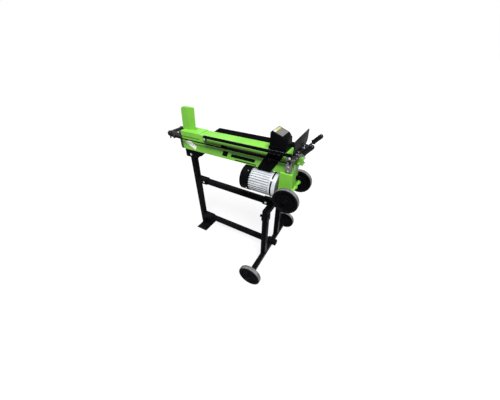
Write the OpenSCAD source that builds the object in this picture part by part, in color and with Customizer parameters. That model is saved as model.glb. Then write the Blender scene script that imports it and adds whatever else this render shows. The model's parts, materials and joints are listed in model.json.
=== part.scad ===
// Electric hydraulic log splitter on a tubular stand.
// Millimetres, +Z up, +X along the beam from the wedge towards the motor, -Y is the side with the motor.
// The origin is on the floor, at the centre of the whole object's bounding box.
// Distances called d are measured along the beam from its wedge end.

/* [Beam] */
// Length of the box beam
beam_l = 765; // [740:5:800]
// Width of the box beam
beam_w = 94; // [90:1:100]
// Height of the box beam
beam_h = 115; // [112:1:120]
// Wall of the box beam
beam_wall = 4; // [3:0.5:5]
// Height of the beam's underside above the floor
underside_z = 710; // [705:5:760]
// Space for a log, from the wedge's edge to the pusher
log_space = 526; // [510:2:540]

/* [Wedge] */
// Height of the wedge above its table
wedge_h = 137; // [110:1:180]
// Length of the wedge along the beam
wedge_l = 100; // [80:1:110]
// Thickness of the wedge at its back
wedge_t = 24; // [16:1:30]
// Forward lean of the wedge's edge in degrees
wedge_lean = 5; // [0:1:8]

/* [Pusher and cylinder] */
// Stroke of the pusher
stroke = 330; // [250:5:330]
// Height of the pusher above the beam
pusher_h = 100; // [80:1:120]
// Length of the pusher along the beam
pusher_l = 92; // [84:1:96]
// Bore radius of the cylinder
bore_r = 32; // [30:0.5:32]
// Piston rod radius
rod_r = 15; // [12:0.5:16]

/* [Motor] */
// Radius of the motor's fan cover
motor_r = 75; // [70:1:75]
// Number of cooling fins
fins = 32; // [24:4:40]
// Teeth on each pump gear
gear_teeth = 14; // [14:1:16]

/* [Wheels] */
// Radius of all four wheels
wheel_r = 75; // [70:1:76]
// Width of a tyre
wheel_w = 28; // [24:1:32]
// Distance between the machine's own wheels, centre to centre
machine_track = 237; // [230:1:250]
// Distance between the stand's wheels, centre to centre
stand_track = 618; // [560:2:640]

/* [Stand] */
// Outer size of the stand's square tubes
tube = 34; // [30:1:35]
// Height of the upper bar's centre
upper_bar_z = 460; // [420:5:480]
// Height of the lower bar's centre
lower_bar_z = 108; // [107:1:120]
// Distance of each portal leg from the middle
leg_y = 109; // [95:1:120]

/* [Controls] */
// Distance of each hand lever from the middle
lever_y = 80; // [74:1:84]
// Length of a lever from its pivot to the grip's end
lever_l = 96; // [90:1:110]
// Angle of the levers above the horizontal
lever_angle = 48; // [40:1:55]

/* [Hidden] */

$fn = 64;
eps = 0.5;
fit = 0.05;

green = [0.30, 0.62, 0.13];
black = [0.05, 0.05, 0.06];
dark = [0.16, 0.17, 0.19];
zinc = [0.66, 0.67, 0.68];
gunmetal = [0.30, 0.29, 0.30];
alloy = [0.80, 0.81, 0.83];
steel = [0.60, 0.61, 0.63];
rubber = [0.17, 0.17, 0.18];

// Levers and handle, which set how far the object reaches along X
handle_d = -98;
handle_r = 12;
pivot_d = beam_l + 27;
grip_r = 12;
reach_right = pivot_d + (lever_l - grip_r) * cos(lever_angle) + grip_r;
reach_left = handle_d - handle_r;
beam_x = -(reach_left + reach_right) / 2;

half_w = beam_w / 2;
beam_top = underside_z + beam_h;
table_t = 4;
table_top = beam_top + table_t;
table_l = 149;
wedge_base_d = -12;
wedge_edge_d = 95;
pusher_d = wedge_edge_d + log_space + 7;
pusher_z = beam_top + 1;

// Cylinder: its rod is fixed to the rear plate, and its barrel carries the pusher
axis_z = underside_z + 74;
barrel_r = bore_r + 5;
barrel_d = 348;
barrel_end_d = 728;
cap_t = 12;
gland_end_d = 750;
spigot_l = 12;
piston_l = 22;
piston_d = barrel_d + cap_t + 2;
trunnion_d = 650;
trunnion_r = 8;
slot_r = trunnion_r + 1;
cheek_y = 48;
cheek_t = 5.5;

rear_t = 7;
rear_bottom_z = underside_z - 73;
end_t = 18;

wing_y = half_w + 9;
wing_d = 186;
wing_end_d = beam_l - 6;
wing_bolt_z = beam_top - 13;
wing_bolts_d = [205, 748];

stroke_rod_y = -61;
stroke_rod_z = axis_z - 2;
stroke_rod_r = 4;

tank_d = 703;
tank_floor_z = underside_z - 135;
tank_near_y = -62;
tank_wall = 3;
axle_d = beam_l + 7;
axle_z = underside_z - 117;
axle_r = 7;
machine_wheel_y = machine_track / 2;
stand_wheel_y = stand_track / 2;

motor_y = -35;
motor_z = underside_z - 87;
fan_cover_d = 472;
motor_body_d = 532;
stator_d = 557;
stator_end_d = 636;
fan_d = 494;
end_bell_d = 658;
motor_end_d = 697;
shaft_r = 8.5;
bearing_r = 20;
bearing_l = 12;
body_r = 66;

// Pump gears: involute teeth
gear_module = 2.2;
gear_pressure = 25;
gear_pitch_r = gear_module * gear_teeth / 2;
gear_tip_r = gear_pitch_r + gear_module;
gear_root_r = gear_pitch_r - 1.25 * gear_module;
gear_base_r = gear_pitch_r * cos(gear_pressure);
gear_backlash = 0.35;
gear_d = 712;
gear_l = 26;
driven_y = motor_y + 2 * gear_pitch_r;

portal_d = 660.5;
stand_axle_z = wheel_r;
axle_tube = 30;
leg_d = 34;
leg_tube = tube + 1;
socket = tube + 8;
socket_fit = 0.3;
foot_t = 5;
bracket_bottom_z = underside_z - 70;

pivot_z = beam_top + 8;
lever_shaft_r = 5;
spool_d = beam_l + 35;
spool_r = 4.5;
valve_d = beam_l + rear_t;
valve_top_z = axis_z + 22;
guard_d = valve_d + 4;
guard_t = 2.5;

box_y = 40;
box_depth = 36;
box_z = motor_z + 2;
box_d = 600;
rocker_r = 11;

function bx(d) = beam_x + d;

// ---- Helpers ----

// A box between distances along the beam, widths and heights
module block(d0, d1, y0, y1, z0, z1) {
    translate([bx(d0), y0, z0]) cube([d1 - d0, y1 - y0, z1 - z0]);
}

// A cylinder along Y
module rod_y(d, y0, y1, z, r) {
    translate([bx(d), y0, z]) rotate([-90, 0, 0]) cylinder(r = r, h = y1 - y0);
}

// A cylinder along X
module rod_x(d0, d1, y, z, r) {
    translate([bx(d0), y, z]) rotate([0, 90, 0]) cylinder(r = r, h = d1 - d0);
}

// A cylinder along Z
module rod_z(d, y, z0, z1, r) {
    translate([bx(d), y, z0]) cylinder(r = r, h = z1 - z0);
}

// An outline in the side view, points as [d, z], made thick from y0 to y1
module side_plate(y0, y1) {
    translate([beam_x, y1, 0]) rotate([90, 0, 0]) linear_extrude(y1 - y0) children();
}

// An outline seen from the end, points as [y, z], run along the beam from d0 to d1
module end_profile(d0, d1) {
    translate([bx(d0), 0, 0]) rotate([90, 0, 90]) linear_extrude(d1 - d0) children();
}

// A rectangle with round corners
module round_rect(x0, y0, x1, y1, r) {
    translate([x0 + r, y0]) square([x1 - x0 - 2 * r, y1 - y0]);
    translate([x0, y0 + r]) square([x1 - x0, y1 - y0 - 2 * r]);
    for (x = [x0 + r, x1 - r], y = [y0 + r, y1 - r]) translate([x, y]) circle(r);
}

// A hexagon head or nut along Y, starting at y and growing in the direction side
module hex_y(d, y, z, r, h, side) {
    translate([bx(d), y, z]) rotate([side > 0 ? -90 : 90, 0, 0]) cylinder(r = r, h = h, $fn = 6);
}

module both_sides() {
    children();
    mirror([0, 1, 0]) children();
}

module square_tube_x(d0, d1, y, z, size, wall) {
    difference() {
        block(d0, d1, y - size / 2, y + size / 2, z - size / 2, z + size / 2);
        block(d0 - eps, d1 + eps, y - size / 2 + wall, y + size / 2 - wall, z - size / 2 + wall,
              z + size / 2 - wall);
    }
}

module square_tube_y(d, y0, y1, z, size, wall) {
    difference() {
        block(d - size / 2, d + size / 2, y0, y1, z - size / 2, z + size / 2);
        block(d - size / 2 + wall, d + size / 2 - wall, y0 - eps, y1 + eps, z - size / 2 + wall,
              z + size / 2 - wall);
    }
}

module square_tube_z(d, y, z0, z1, size, wall) {
    difference() {
        block(d - size / 2, d + size / 2, y - size / 2, y + size / 2, z0, z1);
        block(d - size / 2 + wall, d + size / 2 - wall, y - size / 2 + wall, y + size / 2 - wall,
              z0 - eps, z1 + eps);
    }
}

// ---- Beam, wedge and handle ----

module beam() {
    color(green) difference() {
        block(0, beam_l, -half_w, half_w, underside_z, beam_top);
        block(-eps, beam_l + eps, -half_w + beam_wall, half_w - beam_wall, underside_z + beam_wall,
              beam_top - beam_wall);
        // Slots that the trunnions run in
        rod_y(trunnion_d, -half_w - eps, half_w + eps, axis_z, slot_r);
        rod_y(trunnion_d - stroke, -half_w - eps, half_w + eps, axis_z, slot_r);
        block(trunnion_d - stroke, trunnion_d, -half_w - eps, half_w + eps, axis_z - slot_r, axis_z + slot_r);
        for (d = wing_bolts_d) rod_y(d, -half_w - eps, half_w + eps, wing_bolt_z, 4.1);
        for (z = bracket_screw_z) rod_y(bracket_screw_d, -half_w - eps, 0, z, 3.1);
    }
}

module end_plate() {
    corner = 14;
    color(dark) side_plate(-50, 50) intersection() {
        translate([-end_t, underside_z]) square([end_t, beam_h - 5]);
        union() {
            translate([-end_t, underside_z + corner]) square([end_t, beam_h]);
            translate([-end_t + corner, underside_z]) square([end_t - corner, corner]);
            translate([-end_t + corner, underside_z + corner]) circle(corner);
        }
    }
}

module wedge_table() {
    color(green) difference() {
        block(0, table_l, -half_w - 3, half_w + 3, beam_top - 27, table_top);
        block(-eps, table_l + eps, -half_w, half_w, beam_top - 28, beam_top);
    }
}

module wedge() {
    lean = wedge_h * tan(wedge_lean);
    back_r = 20;
    color(green) intersection() {
        translate([bx(wedge_base_d), 0, table_top]) rotate([0, wedge_lean, 0]) translate([0, 0, -40])
            linear_extrude(wedge_h + 80)
                polygon([[-30, -wedge_t / 2], [0.55 * wedge_l, -wedge_t / 2], [wedge_l, -0.6],
                         [wedge_l, 0.6], [0.55 * wedge_l, wedge_t / 2], [-30, wedge_t / 2]]);
        side_plate(-wedge_t, wedge_t) translate([wedge_base_d, table_top]) {
            polygon([[0, 0], [wedge_l + 20, 0], [wedge_l + 20, wedge_h], [lean + back_r, wedge_h],
                     [lean, wedge_h - back_r]]);
            translate([lean + back_r, wedge_h - back_r]) circle(back_r);
        }
    }
}

module carry_handle() {
    lug_t = 4;
    handle_z = beam_top - 26;
    eye_d = -55;
    color(dark) difference() {
        union() {
            for (y = [-50 - lug_t, 50]) side_plate(y, y + lug_t) {
                polygon([[0, handle_z - 24], [0, handle_z + 13], [handle_d, handle_z + 16],
                         [handle_d, handle_z - 16]]);
                translate([handle_d, handle_z]) circle(16);
            }
            rod_y(handle_d, -64, 64, handle_z, handle_r);
            // Eye that guides the stroke rod
            block(eye_d - 5, eye_d + 5, stroke_rod_y - 7, -50 - lug_t, stroke_rod_z - 8, stroke_rod_z + 8);
        }
        rod_x(eye_d - 10, eye_d + 10, stroke_rod_y, stroke_rod_z, stroke_rod_r + 0.3);
    }
}

module cradle_wings() {
    tip_d = 222;
    color(black) both_sides() difference() {
        union() {
            end_profile(wing_d, wing_end_d)
                polygon([[wing_y, beam_top - 10], [wing_y, beam_top - 5], [wing_y + 21, beam_top + 18],
                         [wing_y + 24, beam_top + 18], [wing_y + 24, beam_top], [wing_y + 21, beam_top],
                         [wing_y + 21, beam_top + 13.6], [wing_y + 3, beam_top - 6.1],
                         [wing_y + 3, beam_top - 10]]);
            for (d = wing_bolts_d) block(d - 12, d + 11, wing_y, wing_y + 3, beam_top - 22, beam_top - 7);
        }
        // Slanting end at the wedge
        translate([beam_x, 0, beam_top - 8]) linear_extrude(40)
            polygon([[wing_d - 20, wing_y - 10], [wing_d, wing_y], [tip_d, wing_y + 24],
                     [tip_d + 15, wing_y + 34], [wing_d - 20, wing_y + 34]]);
        for (d = wing_bolts_d) rod_y(d, wing_y - eps, wing_y + 4, wing_bolt_z, 4.1);
    }
}

bracket_screw_d = 744.5;
bracket_screw_z = [underside_z + 25, underside_z + 50];

// A hexagon bolt through the beam's side: head outside, nut inside, spacer between the beam and the wing
module wing_bolt(d, spacer_from) {
    rod_y(d, half_w - beam_wall - 6, wing_y + 3, wing_bolt_z, 4);
    hex_y(d, wing_y + 3, wing_bolt_z, 7.5, 5, 1);
    hex_y(d, half_w - beam_wall - 7, wing_bolt_z, 7.5, 7, 1);
    difference() {
        rod_y(d, spacer_from, wing_y, wing_bolt_z, 8);
        rod_y(d, spacer_from - eps, wing_y + eps, wing_bolt_z, 3.9);
    }
}

module bolts() {
    color(zinc) {
        for (d = wing_bolts_d) wing_bolt(d, half_w);
        mirror([0, 1, 0]) {
            wing_bolt(wing_bolts_d[0], half_w);
            wing_bolt(wing_bolts_d[1], half_w + bracket_t);
            for (z = bracket_screw_z) {
                hex_y(bracket_screw_d, half_w + bracket_t, z, 5.5, 4, 1);
                rod_y(bracket_screw_d, half_w - beam_wall, half_w + bracket_t, z, 3);
            }
        }
        // Bolt through the stand's bracket and left leg
        rod_y(leg_d, -leg_tube / 2 - 5, leg_tube / 2 + 5, underside_z - 46, 5);
        hex_y(leg_d, -leg_tube / 2 - 5, underside_z - 46, 9, 6, -1);
        hex_y(leg_d, leg_tube / 2 + 5, underside_z - 46, 9, 7, 1);
        // Bolts through the upper bar's sockets
        for (d = [110, 615]) {
            hex_y(d, -socket / 2, upper_bar_z, 7.5, 5, -1);
            hex_y(d, socket / 2, upper_bar_z, 7.5, 5, 1);
        }
        // Screws that hold the hand guard and the lever bearings to their bracket
        for (y = [-64, -32, 32, 64]) {
            translate([bx(guard_d + guard_t), y, pivot_z + 7]) rotate([0, 90, 0]) cylinder(r = 5, h = 4, $fn = 6);
        }
    }
}

// ---- Rear end, tank and axle ----

module rear_plate() {
    color(green) difference() {
        block(beam_l, beam_l + rear_t, -half_w, half_w, rear_bottom_z, beam_top);
        rod_x(beam_l - eps, beam_l + rear_t + eps, 0, axis_z, 10 + fit);
    }
}

module tank_outline(inset) {
    polygon([[tank_d + inset, tank_floor_z + inset], [742 - inset * 0.7, tank_floor_z + inset],
             [beam_l - inset, rear_bottom_z + inset * 0.4], [beam_l - inset, underside_z - inset],
             [tank_d + inset, underside_z - inset]]);
}

module tank() {
    lug_t = 8;
    color(green) {
        difference() {
            side_plate(tank_near_y, half_w) tank_outline(0);
            side_plate(tank_near_y + tank_wall, half_w - tank_wall) tank_outline(tank_wall);
            rod_x(tank_d - eps, tank_d + tank_wall + eps, motor_y, motor_z, 20.1);
            rod_x(beam_l - tank_wall - eps, beam_l + eps, 0, underside_z - 45, 7.1);
        }
        // Ledge on the near side, which laps the beam
        block(tank_d, axle_d, tank_near_y, -half_w, underside_z, underside_z + 9);
        block(beam_l, axle_d, tank_near_y, -half_w, rear_bottom_z, underside_z);
        // Lugs that carry the axle
        for (y = [-48, 36]) difference() {
            side_plate(y, y + lug_t) {
                polygon([[742, tank_floor_z], [beam_l, rear_bottom_z], [axle_d, rear_bottom_z],
                         [axle_d + 13, axle_z], [axle_d, axle_z - 13], [750, tank_floor_z]]);
                translate([axle_d, axle_z]) circle(13);
            }
            rod_y(axle_d, y - eps, y + lug_t + eps, axle_z, axle_r + fit);
        }
    }
}

module tank_plugs() {
    // Dipstick plug through the rear plate, and a drain plug in the floor
    color(black) {
        rod_x(axle_d, axle_d + 6, 30, underside_z - 45, 13);
        rod_x(axle_d + 6, axle_d + 20, 30, underside_z - 45, 9);
    }
    color(zinc) {
        translate([bx(722), -46, tank_floor_z - 6]) cylinder(r = 9, h = 6, $fn = 6);
    }
}

module axle(d, z, half_track) {
    stop_y = half_track - wheel_w / 2 - 2;
    rod_y(d, -half_track - wheel_w / 2 - 3, half_track + wheel_w / 2 + 3, z, axle_r);
    both_sides() rod_y(d, stop_y - 4, stop_y, z, 12);
}

module machine_axle() {
    color(green) axle(axle_d, axle_z, machine_wheel_y);
}

// A pressed cap on an axle end
module axle_cap(d, y, z) {
    difference() {
        union() {
            rod_y(d, y, y + 7, z, 11);
            translate([bx(d), y + 7, z]) rotate([-90, 0, 0]) cylinder(r1 = 11, r2 = 6, h = 3);
        }
        rod_y(d, y - eps, y + 3, z, axle_r + fit);
    }
}

module axle_caps() {
    outer = wheel_w / 2 + 1.5;
    color(black) both_sides() {
        axle_cap(axle_d, machine_wheel_y + outer, axle_z);
        axle_cap(portal_d, stand_wheel_y + outer, stand_axle_z);
    }
}

// ---- Cylinder ----

module piston_rod() {
    color([0.78, 0.79, 0.81]) {
        rod_x(piston_d + piston_l, beam_l, 0, axis_z, rod_r);
        rod_x(piston_d, piston_d + piston_l, 0, axis_z, 10);
        rod_x(beam_l, beam_l + rear_t, 0, axis_z, 10);
    }
}

module piston() {
    color(steel) difference() {
        rod_x(piston_d, piston_d + piston_l, 0, axis_z, bore_r - fit);
        rod_x(piston_d - eps, piston_d + piston_l + eps, 0, axis_z, 10 + fit);
        for (d = [piston_d + 5, piston_d + 13]) difference() {
            rod_x(d, d + 4, 0, axis_z, bore_r + 1);
            rod_x(d - eps, d + 4 + eps, 0, axis_z, bore_r - 3);
        }
    }
}

module cylinder_barrel() {
    color(dark) {
        difference() {
            rod_x(barrel_d, barrel_end_d, 0, axis_z, barrel_r);
            rod_x(barrel_d + cap_t, barrel_end_d + eps, 0, axis_z, bore_r);
        }
        both_sides() difference() {
            rod_y(trunnion_d, bore_r + 3, cheek_y + cheek_t - 0.1, axis_z, trunnion_r);
            rod_x(barrel_d, barrel_end_d, 0, axis_z, barrel_r - 1);
        }
    }
}

module cylinder_gland() {
    color(steel) difference() {
        union() {
            rod_x(barrel_end_d, gland_end_d, 0, axis_z, barrel_r);
            rod_x(barrel_end_d - spigot_l, barrel_end_d, 0, axis_z, bore_r - fit);
        }
        rod_x(barrel_end_d - spigot_l - eps, gland_end_d + eps, 0, axis_z, rod_r + fit);
    }
}

// ---- Pusher ----

module pusher_block() {
    wall = 6;
    top = pusher_z + pusher_h;
    color(black) {
        difference() {
            side_plate(-cheek_y, cheek_y)
                polygon([[pusher_d, pusher_z], [pusher_d, top - 7], [pusher_d + 7, top],
                         [pusher_d + 67, top - 22], [pusher_d + 85, top - 43],
                         [pusher_d + pusher_l, pusher_z]]);
            side_plate(-cheek_y + wall, cheek_y - wall)
                polygon([[pusher_d + wall, pusher_z - eps], [pusher_d + wall, top - 16],
                         [pusher_d + 62, top - 30], [pusher_d + 78, top - 48],
                         [pusher_d + pusher_l - wall - 1, pusher_z - eps]]);
        }
        // Ribs that grip the log
        for (z = [18 : 22 : 84]) side_plate(-cheek_y + 6, cheek_y - 6)
            polygon([[pusher_d, pusher_z + z - 4], [pusher_d, pusher_z + z + 4], [pusher_d - 4, pusher_z + z]]);
    }
}

module cheek_outline() {
    lower = underside_z - 6;
    polygon([[pusher_d - 2, pusher_z + 25], [pusher_d + 88, pusher_z + 25], [pusher_d + 88, beam_top - 4],
             [pusher_d + 80, beam_top - 18], [pusher_d + 18, lower], [pusher_d - 68, lower],
             [pusher_d - 11, beam_top - 24], [pusher_d - 2, beam_top - 8]]);
}

module pusher_saddle() {
    keeper_top = underside_z - 1;
    tab_d = pusher_d;
    color(black) difference() {
        union() {
            both_sides() side_plate(cheek_y, cheek_y + cheek_t) cheek_outline();
            block(pusher_d - 64, pusher_d + 14, -cheek_y, cheek_y, underside_z - 6, keeper_top);
            // Tab that meets the collar on the stroke rod
            block(tab_d, tab_d + 6, stroke_rod_y - 8, -cheek_y - cheek_t, stroke_rod_z - 9, stroke_rod_z + 9);
        }
        both_sides() rod_y(trunnion_d, cheek_y - eps, cheek_y + cheek_t + eps, axis_z, trunnion_r + fit);
        rod_x(tab_d - eps, tab_d + 6 + eps, stroke_rod_y, stroke_rod_z, stroke_rod_r + 1);
    }
}

// ---- Stroke rod ----

module stroke_rod() {
    rod_start_d = -92;
    color(dark) {
        rod_x(rod_start_d, 756, stroke_rod_y, stroke_rod_z, stroke_rod_r);
        translate([bx(rod_start_d), stroke_rod_y, stroke_rod_z]) sphere(stroke_rod_r);
        rod_z(rod_start_d, stroke_rod_y, stroke_rod_z - 16, stroke_rod_z, stroke_rod_r);
    }
}

module stroke_collar() {
    collar_d = pusher_d + 8;
    color(dark) {
        difference() {
            union() {
                rod_x(collar_d, collar_d + 14, stroke_rod_y, stroke_rod_z, 6.5);
                rod_y(collar_d + 7, stroke_rod_y - 16, stroke_rod_y, stroke_rod_z, 2.5);
                rod_y(collar_d + 7, stroke_rod_y - 20, stroke_rod_y - 14, stroke_rod_z, 7);
            }
            rod_x(collar_d - eps, collar_d + 14 + eps, stroke_rod_y, stroke_rod_z, stroke_rod_r + fit);
        }
    }
}

// ---- Valve and levers ----

bracket_t = 4;

module valve_bracket() {
    eye_d = 743;
    color(gunmetal) difference() {
        union() {
            side_plate(-half_w - bracket_t, -half_w)
                round_rect(727, underside_z + 10, 762, beam_top + 1, 5);
            block(eye_d - 5, eye_d + 5, stroke_rod_y - 7, -half_w - bracket_t, stroke_rod_z - 9,
                  stroke_rod_z + 9);
        }
        rod_x(eye_d - 6, eye_d + 6, stroke_rod_y, stroke_rod_z, stroke_rod_r + 0.2);
        rod_y(wing_bolts_d[1], -half_w - bracket_t - eps, -half_w + eps, wing_bolt_z, 4.1);
        for (z = bracket_screw_z) rod_y(bracket_screw_d, -half_w - bracket_t - eps, -half_w + eps, z, 3.1);
    }
}

module valve_block() {
    bottom = axis_z - 18;
    color(green) difference() {
        union() {
            block(valve_d, spool_d + 7, -18, 10, bottom, valve_top_z);
            // Plug on the near side
            rod_y(valve_d + 11, -27, -18, bottom + 4, 10);
            translate([bx(valve_d + 11), -27, bottom + 4]) rotate([90, 0, 0]) cylinder(r1 = 10, r2 = 7, h = 3);
        }
        rod_z(spool_d, 0, bottom + 5, valve_top_z + eps, spool_r + fit);
    }
}

module valve_spool() {
    color(steel) {
        rod_z(spool_d, 0, valve_top_z - 32, pivot_z - 16, spool_r);
        rod_z(spool_d, 0, pivot_z - 20, pivot_z - 17, 7);
        translate([bx(spool_d), 0, pivot_z - 16]) intersection() {
            sphere(4);
            translate([-5, -5, 0]) cube(10);
        }
    }
}

// Compression spring: a round wire swept along a helix
spring_wire_r = 0.8;
spring_r = 5.9;
spring_turns = 3;
spring_steps = 16;
spring_sides = 8;
spring_z0 = valve_top_z + spring_wire_r;
spring_z1 = pivot_z - 20 - spring_wire_r;

function spring_point(i, j) =
    let (turn = 360 * i / spring_steps, around = 360 * j / spring_sides,
         rise = (spring_z1 - spring_z0) * i / (spring_turns * spring_steps),
         r = spring_r + spring_wire_r * cos(around))
    [bx(spool_d) + r * cos(turn), r * sin(turn), spring_z0 + rise + spring_wire_r * sin(around)];

module valve_spring() {
    rings = spring_turns * spring_steps;
    points = [for (i = [0 : rings], j = [0 : spring_sides - 1]) spring_point(i, j)];
    first = [for (j = [0 : spring_sides - 1]) spring_sides - 1 - j];
    last = [for (j = [0 : spring_sides - 1]) rings * spring_sides + j];
    sides = [for (i = [0 : rings - 1], j = [0 : spring_sides - 1])
        let (k = (j + 1) % spring_sides, a = i * spring_sides, b = a + spring_sides)
        [a + k, b + k, b + j, a + j]];
    color(steel) polyhedron(points, concat([first], sides, [last]));
}

module bearing_ear(y0, y1) {
    difference() {
        block(guard_d + guard_t, pivot_d + 9, y0, y1, pivot_z - 9, pivot_z + 9);
        rod_y(pivot_d, y0 - eps, y1 + eps, pivot_z, lever_shaft_r + fit);
    }
}

module lever_bracket() {
    color(dark) {
        // Cross plate behind the guard, with two legs on the rear plate
        block(valve_d, guard_d, -70, 70, beam_top - 3, beam_top + 25);
        for (y = [-46, 28]) block(valve_d, guard_d, y, y + 18, axis_z + 4, beam_top - 3);
        both_sides() {
            bearing_ear(lever_y + 5, lever_y + 8);
            bearing_ear(lever_y - 8, lever_y - 5);
            bearing_ear(17, 20);
        }
    }
}

module hand_guard() {
    top = beam_top + 93;
    color(dark) end_profile(guard_d, guard_d + guard_t) {
        translate([-112, beam_top + 28]) square([224, 93 - 28 - 10]);
        translate([-102, top - 10]) square([204, 10]);
        for (y = [-102, 102]) translate([y, top - 10]) circle(10);
        polygon([[-112, beam_top + 28], [112, beam_top + 28], [62, beam_top + 3], [-62, beam_top + 3]]);
    }
}

// One hand lever with its cross shaft; side is -1 near and 1 far
module lever(side, shaft_end) {
    arm_l = 34;
    tail_l = 26;
    tang_l = lever_l - 24;
    far_end = lever_y + 10;
    rod_y(pivot_d, side > 0 ? shaft_end : -far_end, side > 0 ? far_end : shaft_end, pivot_z, lever_shaft_r);
    rod_y(pivot_d, side * lever_y - 4.5, side * lever_y + 4.5, pivot_z, 9);
    translate([bx(pivot_d), side * lever_y, pivot_z]) rotate([0, -lever_angle, 0]) {
        translate([0, -4, -6]) cube([arm_l, 8, 12]);
        translate([-tail_l, -3, -4]) cube([tail_l + eps, 6, 8]);
        translate([arm_l - eps, -3, -4]) cube([tang_l - arm_l + eps, 6, 8]);
    }
}

module near_lever() {
    color(gunmetal) {
        lever(-1, 6);
        // Finger that presses the spool
        block(pivot_d, spool_d + 6, -5, 5, pivot_z - 11.5, pivot_z - 3);
    }
}

module far_lever() {
    color(gunmetal) lever(1, 12);
}

// A hand grip with a domed end, on the lever's tang
module grip(side) {
    grip_start = 36;
    translate([bx(pivot_d), side * lever_y, pivot_z]) rotate([0, -lever_angle, 0]) difference() {
        rotate([0, 90, 0]) rotate_extrude() {
            difference() {
                union() {
                    translate([0, grip_start]) square([grip_r, lever_l - grip_r - grip_start]);
                    translate([0, lever_l - grip_r]) circle(grip_r);
                    translate([0, grip_start]) square([grip_r + 2, 3]);
                }
                translate([-2 * grip_r, 0]) square([2 * grip_r, 2 * lever_l]);
            }
        }
        translate([0, -3 - 0.2, -4 - 0.2]) cube([lever_l - 24 + 0.3, 6.4, 8.4]);
    }
}

module near_grip() {
    color(black) grip(-1);
}

module far_grip() {
    color(black) grip(1);
}

// ---- Motor and pump ----

module motor_rod(d0, d1, r) {
    rod_x(d0, d1, motor_y, motor_z, r);
}

module motor_ring(d0, d1, outer, inner) {
    difference() {
        motor_rod(d0, d1, outer);
        motor_rod(d0 - eps, d1 + eps, inner);
    }
}

module motor_body() {
    color(alloy) {
        difference() {
            union() {
                translate([bx(motor_body_d), motor_y, motor_z]) rotate([90, 0, 90])
                    linear_extrude(end_bell_d - motor_body_d) {
                        circle(body_r);
                        for (i = [0 : fins - 1]) rotate(i * 360 / fins)
                            translate([body_r - 2, -1.6]) square([motor_r - body_r, 3.2]);
                    }
                // Pad for the terminal box
                block(box_d - 32, box_d + 32, motor_y + 50, box_y, box_z - 22, box_z + 22);
            }
            motor_rod(motor_body_d + 6, end_bell_d + eps, body_r - 6);
            motor_rod(motor_body_d - eps, motor_body_d + 7, shaft_r + 2);
        }
        motor_ring(motor_body_d + 6, motor_body_d + 6 + bearing_l, bearing_r + 5, bearing_r + fit);
    }
}

module motor_stator() {
    color([0.55, 0.32, 0.16]) {
        motor_ring(stator_d, stator_end_d, body_r - 6.1, 36);
        for (d = [stator_d - 6, stator_end_d]) motor_ring(d, d + 6, 54, 40);
    }
}

module end_bell() {
    color(alloy) {
        difference() {
            motor_rod(end_bell_d, motor_end_d, motor_r - 1);
            motor_rod(end_bell_d - eps, end_bell_d + 30, body_r - 8);
            motor_rod(end_bell_d + 25, motor_end_d + eps, shaft_r + 2);
        }
        motor_ring(end_bell_d + 18, end_bell_d + 30, bearing_r + 5, bearing_r + fit);
        // Feet of the through bolts
        for (a = [45 : 90 : 315]) translate([bx(end_bell_d + 6), motor_y, motor_z]) rotate([a, 0, 0])
            translate([0, -6, motor_r - 4]) cube([26, 12, 6]);
    }
}

module fan_cover() {
    wall = 2;
    color(black) difference() {
        union() {
            motor_rod(fan_cover_d + 6, motor_body_d, motor_r);
            motor_rod(fan_cover_d, fan_cover_d + 6, motor_r - 6);
            translate([bx(fan_cover_d + 6), motor_y, motor_z]) rotate([0, 90, 0])
                rotate_extrude() translate([motor_r - 6, 0]) circle(6);
        }
        motor_rod(fan_cover_d + wall, motor_body_d + eps, motor_r - 6 - wall);
        motor_rod(fan_cover_d + 8, motor_body_d + eps, motor_r - wall);
        // Air holes in the end face
        for (ring = [[30, 12, 4], [45, 16, 4.5], [59, 24, 4]])
            for (i = [0 : ring[1] - 1])
                translate([bx(fan_cover_d - eps), motor_y, motor_z]) rotate([i * 360 / ring[1], 0, 0])
                    translate([0, ring[0], 0]) rotate([0, 90, 0]) cylinder(r = ring[2], h = wall + 2 * eps, $fn = 24);
    }
}

module motor_bearings() {
    color(steel) {
        motor_ring(motor_body_d + 6.1, motor_body_d + 6 + bearing_l, bearing_r, shaft_r + fit);
        motor_ring(end_bell_d + 18, end_bell_d + 29.9, bearing_r, shaft_r + fit);
    }
}

module motor_shaft() {
    color(steel) {
        motor_rod(fan_d - 4, gear_d + gear_l + 2, shaft_r);
        motor_rod(stator_d + 3, stator_end_d - 3, 35);
    }
}

module cooling_fan() {
    color(dark) {
        motor_ring(fan_d, fan_d + 22, 15, shaft_r + fit);
        motor_ring(fan_d + 20, fan_d + 22, 58, 14);
        for (i = [0 : 7]) translate([bx(fan_d + 2), motor_y, motor_z]) rotate([i * 45, 0, 0])
            translate([0, 14, -1]) cube([18.5, 42, 2]);
    }
}

module terminal_box() {
    wall = 2.5;
    half_l = 42;
    half_h = 30;
    color(black) difference() {
        block(box_d - half_l, box_d + half_l, box_y, box_y + box_depth, box_z - half_h, box_z + half_h);
        block(box_d - half_l + wall, box_d + half_l - wall, box_y + wall, box_y + box_depth - wall,
              box_z - half_h + wall, box_z + half_h - wall);
        block(box_d - 13, box_d + 13, box_y + box_depth - wall - eps, box_y + box_depth + eps,
              box_z - rocker_r - 0.5, box_z + rocker_r + 0.5);
    }
}

module switch_rocker() {
    rocker_y = box_y + box_depth - 5;
    color([0.7, 0.08, 0.06]) difference() {
        rod_x(box_d - 12, box_d + 12, rocker_y, box_z, rocker_r);
        translate([bx(box_d), rocker_y + rocker_r - 1, box_z]) rotate([16, 0, 0])
            translate([-13, -3, 0]) cube([26, 12, 14]);
    }
}

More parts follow.
